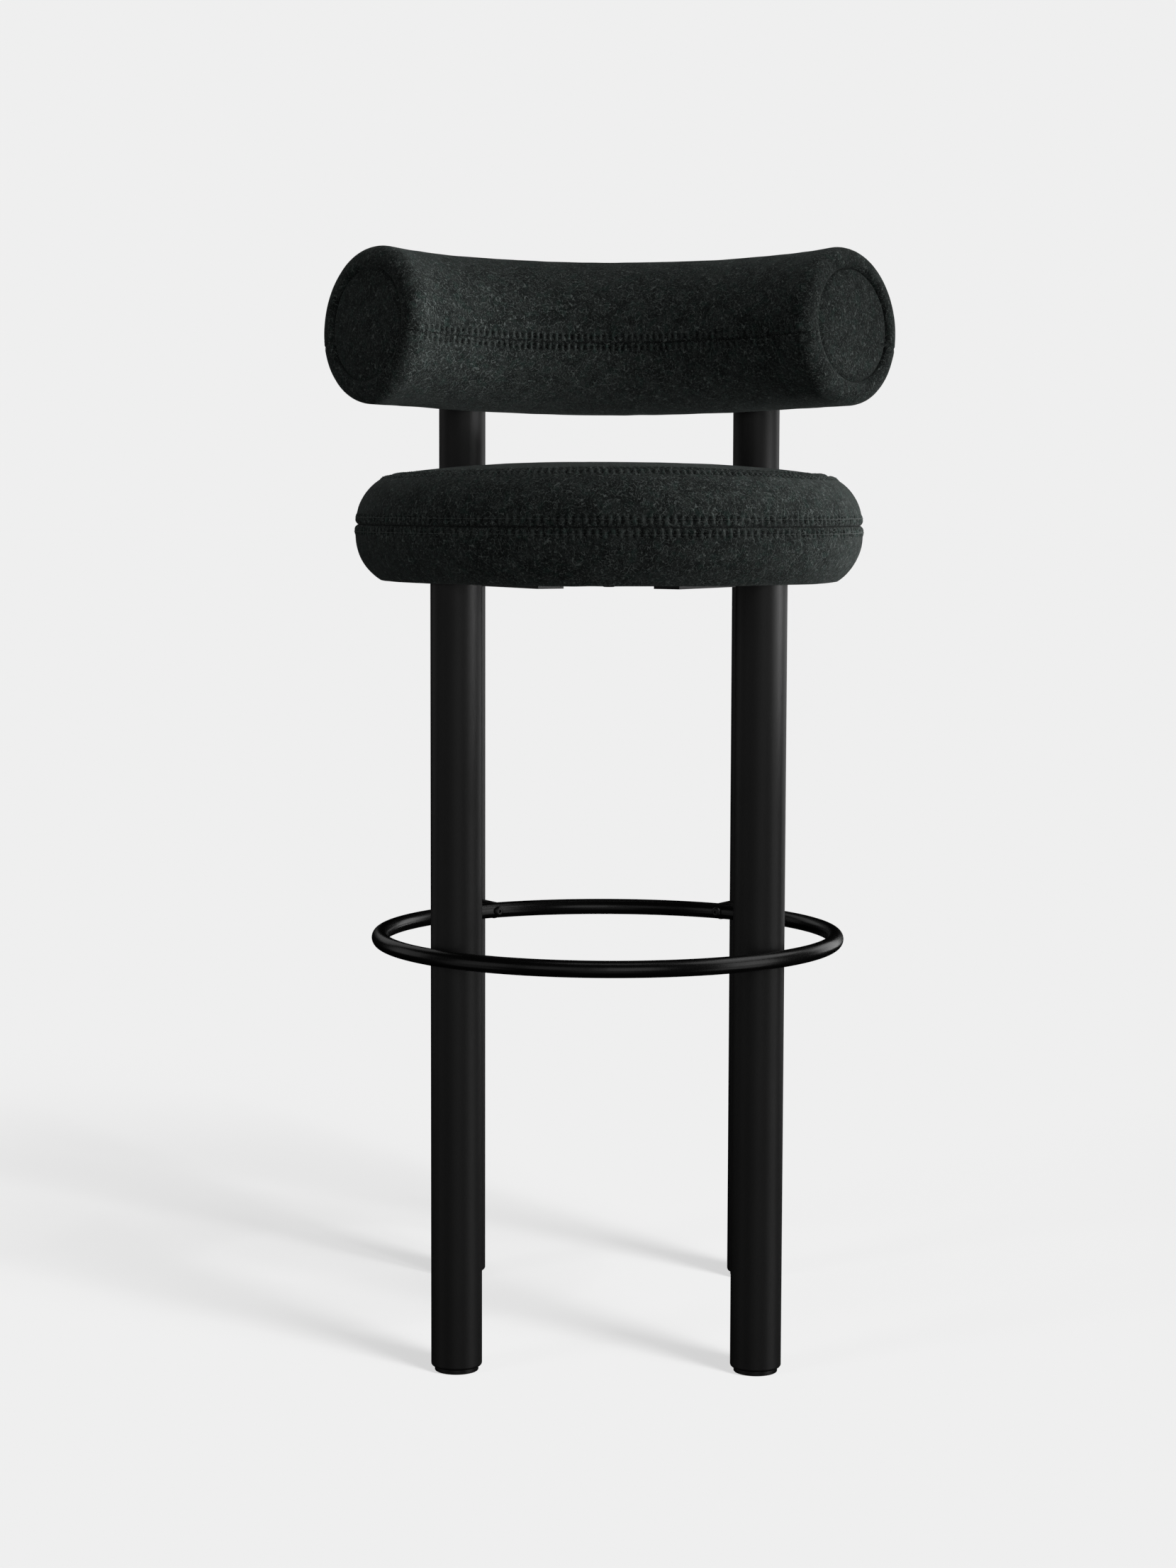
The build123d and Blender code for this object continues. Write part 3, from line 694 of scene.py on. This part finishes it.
def build_seat(paints, sewing):
    """The three seat panels, each a closed body with its sewn edges turned in, and their topstitching."""
    places, field, (top_length, upper_length, _) = seat_swell()
    centre = np.array([0.0, SEAT_Y, (plate_high.z + CROWN) / 2])
    column = np.arange(SEAT_COLUMNS)
    phase = column * SEAT_STITCHES / SEAT_COLUMNS
    turn = 2 * np.pi * column / SEAT_COLUMNS
    walk = np.stack([np.cos(turn), np.sin(turn), 0 * turn], -1)
    uneven = 1.0 + 0.4 * value_noise(walk, 0.035)
    hidden = lengths(seat_outline_top[:9])[-1]
    specs = (
        ("top", seat_outline_top, -hidden, False, True, ("seat_cover_top", "seat_foam")),
        ("upper", seat_outline_upper, top_length, True, True, ("seat_cover_upper",)),
        ("lower", seat_outline_lower, top_length + upper_length, True, False, ("seat_cover_lower",)),
    )
    for index, (name, outline, start, seam_low, seam_high, stands_for) in enumerate(specs):
        total = lengths(outline)[-1]
        low_zone, high_zone = (SEAM_ZONE if seam else 0.0 for seam in (seam_low, seam_high))
        s = stepped(total, low_zone, high_zone, FINE, COARSE)
        if name == "top":
            s = s[s > hidden]
        if name == "lower":
            s = np.concatenate([s, total + np.array([2.0, 5.0, 12.0, 21.0]) * MM])
            hem = ((SEAT_EDGE[0] - 4.0 * MM, SEAT_EDGE[1] + 0.3 * MM), (HEM_R, SEAT_EDGE[1] + 6.0 * MM))
            outline = np.vstack([outline, hem])
        grid = revolved(along(outline, s), SEAT_COLUMNS)
        share = np.clip(s / total, 0.0, 1.0)
        rise = {"top": share**2, "upper": (1.0 - share) ** 1.3, "lower": 0.0 * share}[name]
        lift = SIDE_LIFT + (FRONT_LIFT - SIDE_LIFT) * np.cos(turn) ** 2
        grid[..., 2] += rise[:, None] * lift[None, :]
        normal = grid_normals(grid, True, centre)
        # Mask of painted highlight and painted shade along the seams
        crest = np.zeros(grid.shape[:2])
        rows_at = np.interp(s + start, places, np.arange(len(places)))
        columns_at = column * field.shape[1] / SEAT_COLUMNS
        rows_at, columns_at = np.broadcast_arrays(rows_at[:, None], columns_at[None, :])
        out = read_grid(field, rows_at, columns_at, True) * (s < total)[:, None] + unevenness(grid)
        seams = [(s, 0.0)] if seam_low else []
        seams += [(total - s, 0.37)] if seam_high else []
        for distance, lag in seams:
            relief, ridge = seam_relief(
                distance[:, None], (phase + lag)[None, :], SEAT_ROW_GAP, uneven[None, :]
            )
            out -= relief
            crest += ridge
        grid = grid + normal * out[..., None]
        points, faces = grid.reshape(-1, 3), grid_faces(len(s), SEAT_COLUMNS, name != "top", True)
        if name == "top":
            points, faces = closed_crown(points, faces, len(s))
        finish_pad(f"seat_pad_{name}", points, faces, paints[index], 0.9, crest, *stands_for)
        for count, (distance, lag) in enumerate(seams):
            order = np.argsort(distance)
            row_at = float(np.interp(SEAT_ROW_GAP, distance[order], order))
            stitch_row(
                f"topstitch_seat_{name}_{count}", grid, row_at,
                lambda p, lag=lag: (p - lag) * SEAT_COLUMNS / SEAT_STITCHES,
                SEAT_STITCHES, True, centre, SEAT_THREAD_R, sewing,
            )


def closed_crown(points, faces, rows):
    """Adds the crown's middle point, and a shallow cone that closes the panel from below."""
    crown = points[:SEAT_COLUMNS].mean(0)
    under = crown - (0.0, 0.0, 6.0 * MM)
    middle = len(points)
    for c in range(SEAT_COLUMNS):
        d = (c + 1) % SEAT_COLUMNS
        faces.append((middle, d, c))
        faces.append((middle + 1, (rows - 1) * SEAT_COLUMNS + c, (rows - 1) * SEAT_COLUMNS + d))
    return np.vstack([points, crown, under]), faces


# --- Backrest bolster ---
BOLSTER_R, ARC_R = 68.2 * MM, 331.0 * MM
HALF_ANGLE, TILT = math.radians(41.0), math.radians(6.5)
RIM_R = 15.0 * MM
SEAM_DROP = 14.2 * MM
POCKET_R, POCKET_DEPTH, POCKET_LIP = 50.4 * MM, 11.0 * MM, 4.0 * MM
BACK_ROW_GAP = 4.9 * MM
FRONT_STITCHES, BACK_STITCHES = 62, 96
BACK_COLUMNS = FRONT_STITCHES * 6
END_SWELL = 2.5 * MM
HELD_COLUMNS = 8  # columns of each rim that take part in the simulation
bolster_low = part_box("backrest_cover_lower")[0]
upper_back_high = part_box("backrest_cover_upper")[1]
leg_low, leg_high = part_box("leg_rear_right")
LEG_R = (leg_high.x - leg_low.x) / 2
REAR_LEG = ((leg_low.x + leg_high.x) / 2, (leg_low.y + leg_high.y) / 2)
BACK_MIDDLE = np.array([0.0, upper_back_high.y - BOLSTER_R, bolster_low.z + BOLSTER_R])
BACK_X = np.array([1.0, 0.0, 0.0])
BACK_Y = np.array([0.0, math.cos(TILT), -math.sin(TILT)])
BACK_Z = np.array([0.0, math.sin(TILT), math.cos(TILT)])
ARC_CENTRE = BACK_MIDDLE - ARC_R * BACK_Y
SEAM_TURN = math.asin(SEAM_DROP / BOLSTER_R)


def bolster_points(turn, radius, angle):
    """Points round the bolster: turn round its section from the back, radius from its centre line,
    angle along the arc."""
    out = np.sin(angle)[..., None] * BACK_X + np.cos(angle)[..., None] * BACK_Y
    reach = ARC_R + radius * np.cos(turn)
    return ARC_CENTRE + out * reach[..., None] + (radius * np.sin(turn))[..., None] * BACK_Z


def bolster_columns():
    """One end's columns, from the side over the rim into the pocket: radius and distance from the end."""
    swing = np.radians(np.linspace(0.0, 90.0, 13)[1:])
    radius = BOLSTER_R - RIM_R + RIM_R * np.cos(swing)
    inset = RIM_R - RIM_R * np.sin(swing)
    lip = np.radians(np.linspace(0.0, 90.0, 5))
    lip_radius = POCKET_R + POCKET_LIP - POCKET_LIP * np.sin(lip)
    lip_inset = POCKET_LIP - POCKET_LIP * np.cos(lip)
    deep = np.linspace(POCKET_LIP, POCKET_DEPTH, 4)[1:]
    radius = np.concatenate([radius[:-1], lip_radius, np.full(3, POCKET_R)])
    inset = np.concatenate([inset[:-1], lip_inset, deep])
    return radius, inset


def bolster_grid(turns, body_columns):
    """The bolster's skin: one row per turn, columns from the left pocket over the side to the right one."""
    end_radius, end_inset = bolster_columns()
    share = np.linspace(-1.0, 1.0, body_columns)
    radius = np.concatenate([end_radius[::-1], np.full(body_columns, BOLSTER_R), end_radius])
    inset = np.concatenate([end_inset[::-1], np.full(body_columns, RIM_R), end_inset])
    share = np.concatenate([-np.ones(len(end_radius)), share, np.ones(len(end_radius))])
    turns, radius = np.broadcast_arrays(turns[:, None], radius[None, :])
    angle = share * (HALF_ANGLE - inset / (ARC_R + radius * np.cos(turns)))
    end = np.clip((np.abs(angle) * ARC_R / (HALF_ANGLE * ARC_R) - 0.72) / 0.28, 0.0, 1.0)
    swelling = END_SWELL * end * end * (3 - 2 * end) * np.clip((radius - POCKET_R) / (10.0 * MM), 0.0, 1.0)
    return bolster_points(turns, radius + swelling, angle), len(end_radius)


def back_swell():
    """Simulated swelling of the bolster's skin: rows along its length, columns round it."""
    front = math.pi + SEAM_TURN
    upper = np.linspace(-SEAM_TURN, front, 46)
    lower = np.linspace(front, 2 * math.pi - SEAM_TURN, 36)[1:-1]
    turns = np.concatenate([upper, lower])
    grid, end_columns = bolster_grid(turns, 90)
    grid = grid[:, end_columns - HELD_COLUMNS : -(end_columns - HELD_COLUMNS)]
    coarse = np.swapaxes(grid, 0, 1)
    pinned = np.zeros(coarse.shape[:2], bool)
    pinned[[0, -1]] = True
    pinned[:, [0, len(upper) - 1]] = True
    return turns, swell("bolster skin", coarse, pinned, BACK_PRESSURE, 2.5 * MM)


def gather_at_legs(grid):
    """The cover is drawn in where the rear legs pass through it."""
    pulled = np.zeros(grid.shape[:2])
    for side in (-1, 1):
        away = np.hypot(grid[..., 0] - side * REAR_LEG[0], grid[..., 1] - REAR_LEG[1]) - LEG_R
        pulled += 3.0 * MM * np.exp(-((np.maximum(away, 0.0) / (5.0 * MM)) ** 2))
    return pulled


def build_bolster(paints, sewing):
    """The bolster's two panels, which meet at the front and back seams, with their topstitching."""
    turns_at, field = back_swell()
    front = math.pi + SEAM_TURN
    specs = (
        (
            "upper", -SEAM_TURN, front,
            ("backrest_cover_upper", "backrest_foam"), (BACK_STITCHES, FRONT_STITCHES),
        ),
        (
            "lower", front, 2 * math.pi - SEAM_TURN,
            ("backrest_cover_lower",), (FRONT_STITCHES, BACK_STITCHES),
        ),
    )
    for index, (name, start, stop, stands_for, stitches) in enumerate(specs):
        total = (stop - start) * BOLSTER_R
        s = stepped(total, SEAM_ZONE, SEAM_ZONE, FINE, COARSE)
        turns = start + s / BOLSTER_R
        grid, end_columns = bolster_grid(turns, BACK_COLUMNS + 1)
        columns = grid.shape[1]
        normal = grid_normals(grid, False, BACK_MIDDLE)
        index_along = np.arange(columns, dtype=float)
        body = [end_columns - HELD_COLUMNS, columns - end_columns + HELD_COLUMNS]
        rows_at = np.interp(index_along, body, [0, field.shape[0] - 1])
        whole_turn = np.append(turns_at, 2 * math.pi - SEAM_TURN)
        columns_at = np.interp(turns, whole_turn, np.arange(len(whole_turn)))
        rows_at, columns_at = np.broadcast_arrays(rows_at[None, :], columns_at[:, None])
        out = read_grid(field, rows_at, columns_at, True) + unevenness(grid)
        from_right = columns - 1 - index_along
        ends = np.clip((index_along - 6) / 10.0, 0, 1) * np.clip((from_right - 6) / 10.0, 0, 1)
        out *= ends[None, :]
        fade = np.clip((index_along - end_columns + 12) / 12.0, 0, 1)
        fade *= np.clip((from_right - end_columns + 12) / 12.0, 0, 1)
        if name == "lower":
            out -= gather_at_legs(grid)
        uneven = fade * (1.0 + 0.4 * value_noise(grid[0] + 3.0 * index, 0.008))
        # Mask of painted highlight and painted shade along the seams
        crest = np.zeros(grid.shape[:2])
        for distance, count in ((s, stitches[0]), (total - s, stitches[1])):
            phase = (index_along - end_columns) * count / BACK_COLUMNS
            relief, ridge = seam_relief(
                distance[:, None], phase[None, :], BACK_ROW_GAP, uneven[None, :]
            )
            out -= relief * (0.25 + 0.75 * ends[None, :])
            crest += ridge * ends[None, :]
        grid = grid + normal * out[..., None]
        faces = grid_faces(len(s), columns, True, False)
        faces.append([r * columns for r in range(len(s))])
        faces.append([r * columns + columns - 1 for r in range(len(s))][::-1])
        points = grid.reshape(-1, 3)
        finish_pad(f"backrest_pad_{name}", points, faces, paints[index], 0.95, crest, *stands_for)
        stitch_rows = ((BACK_ROW_GAP, stitches[0]), (total - BACK_ROW_GAP, stitches[1]))
        for count, (distance, number) in enumerate(stitch_rows):
            row_at = float(np.interp(distance, s, np.arange(len(s))))
            stitch_row(
                f"topstitch_backrest_{name}_{count}", grid, row_at,
                lambda p, number=number: end_columns + p * BACK_COLUMNS / number,
                number, False, BACK_MIDDLE, BACK_THREAD_R, sewing,
            )


PANEL_R, PANEL_RECESS, PANEL_CROWN = 51.0 * MM, 1.6 * MM, 2.6 * MM
PANEL_EDGE_R, PANEL_BACK = 6.0 * MM, 9.0 * MM


def build_end_panel(name, side, paint, stands_for):
    """The round felt-covered panel that closes one end of the bolster: crowned, with a rolled edge."""
    angle = side * HALF_ANGLE
    out = math.sin(angle) * BACK_X + math.cos(angle) * BACK_Y
    along_way = side * (math.cos(angle) * BACK_X - math.sin(angle) * BACK_Y)
    centre = ARC_CENTRE + ARC_R * out
    flat = np.linspace(1.5 * MM, PANEL_R - PANEL_EDGE_R, 24)
    roll = np.radians(np.linspace(0.0, 90.0, 7)[1:])
    radius = np.concatenate([flat, PANEL_R - PANEL_EDGE_R + PANEL_EDGE_R * np.sin(roll), [PANEL_R]])
    crown = PANEL_CROWN * (1.0 - (flat / flat[-1]) ** 2)
    rolled = PANEL_RECESS + PANEL_EDGE_R * (1 - np.cos(roll))
    depth = np.concatenate([PANEL_RECESS - crown, rolled, [PANEL_BACK]])
    columns = 180
    turn = 2 * np.pi * np.arange(columns) / columns
    spoke = np.cos(turn)[:, None] * out + np.sin(turn)[:, None] * BACK_Z
    grid = centre + radius[:, None, None] * spoke[None] - depth[:, None, None] * along_way
    wavy = unevenness(grid) * 0.8 * (radius < PANEL_R - MM)[:, None]
    grid = grid + wavy[..., None] * along_way
    rows = len(radius)
    points, faces = grid.reshape(-1, 3), grid_faces(rows, columns, False, True)
    middle = len(points)
    for c in range(columns):
        faces.append((middle, (c + 1) % columns, c))
    faces.append([(rows - 1) * columns + c for c in range(columns)])
    points = np.vstack([points, points[:columns].mean(0)])
    finish_pad(name, points, faces, paint, 0.9, np.zeros(len(points)), stands_for)


make_camera()
lit = make_stage()

coat = powder_coat("powder_coat", grey(0.0085), grey(0.0115), 0.50, 0.42, 0.04)
gloss = powder_coat("gloss_coat", grey(0.006), grey(0.009), 0.26, 1.4, 0.02)
screw = powder_coat("black_oxide", grey(0.010), grey(0.016), 0.34, 0.8, 0.02)
zinc = metal("zinc_plate", grey(0.55, 0.56, 0.58), 0.28, (1.0, 1.0, 0.05))
raw = metal("raw_steel", grey(0.30, 0.30, 0.31), 0.42, (0.05, 1.0, 1.0))
glide_skin = moulded("glide_nylon", grey(0.006), 0.42)
plug_skin = moulded("plug_polyethylene", grey(0.010), 0.55)
birch = plywood("birch_ply")
dust = non_woven("dust_cloth")
felt_dark, felt_light = grey(0.014, 0.017, 0.0162), grey(0.034, 0.040, 0.038)
felt_green = grey(0.025, 0.044, 0.038)
felt_fibre = grey(0.16, 0.183, 0.174)
felts = [
    felt(f"felt_{n}", (3.7 * n, 1.9 * n, 5.1 * n), felt_dark, felt_light, felt_green, felt_fibre)
    for n in range(5)
]

SLOT_PAINT = {
    "powder_coat": coat,
    "powder_coat_gloss": gloss,
    "black_screws": screw,
    "zinc_steel": zinc,
    "raw_steel": raw,
    "glide_plastic": glide_skin,
    "plug_plastic": plug_skin,
    "plywood": birch,
    "dust_cloth": dust,
    "wool_felt": felts[0],
    "foam": felts[0],
}
node_slot = {part["node"]: part["material_slot"] for part in frame["record"]["subparts"]}
for node_name, node_object in frame["nodes"].items():
    paint = SLOT_PAINT[node_slot[node_name]]
    for place in node_object.material_slots:
        place.material = paint

pale_thread = thread("pale_thread", grey(0.06, 0.07, 0.067), grey(0.13, 0.15, 0.143))
dark_thread = thread("dark_thread", grey(0.020, 0.024, 0.023), grey(0.045, 0.052, 0.050))
build_seat(felts[:3], pale_thread)
build_bolster(felts[3:], dark_thread)
build_end_panel("backrest_end_left", -1, felts[1], "backrest_end_panel_left")
build_end_panel("backrest_end_right", 1, felts[2], "backrest_end_panel_right")

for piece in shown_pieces():
    lit.objects.link(piece)
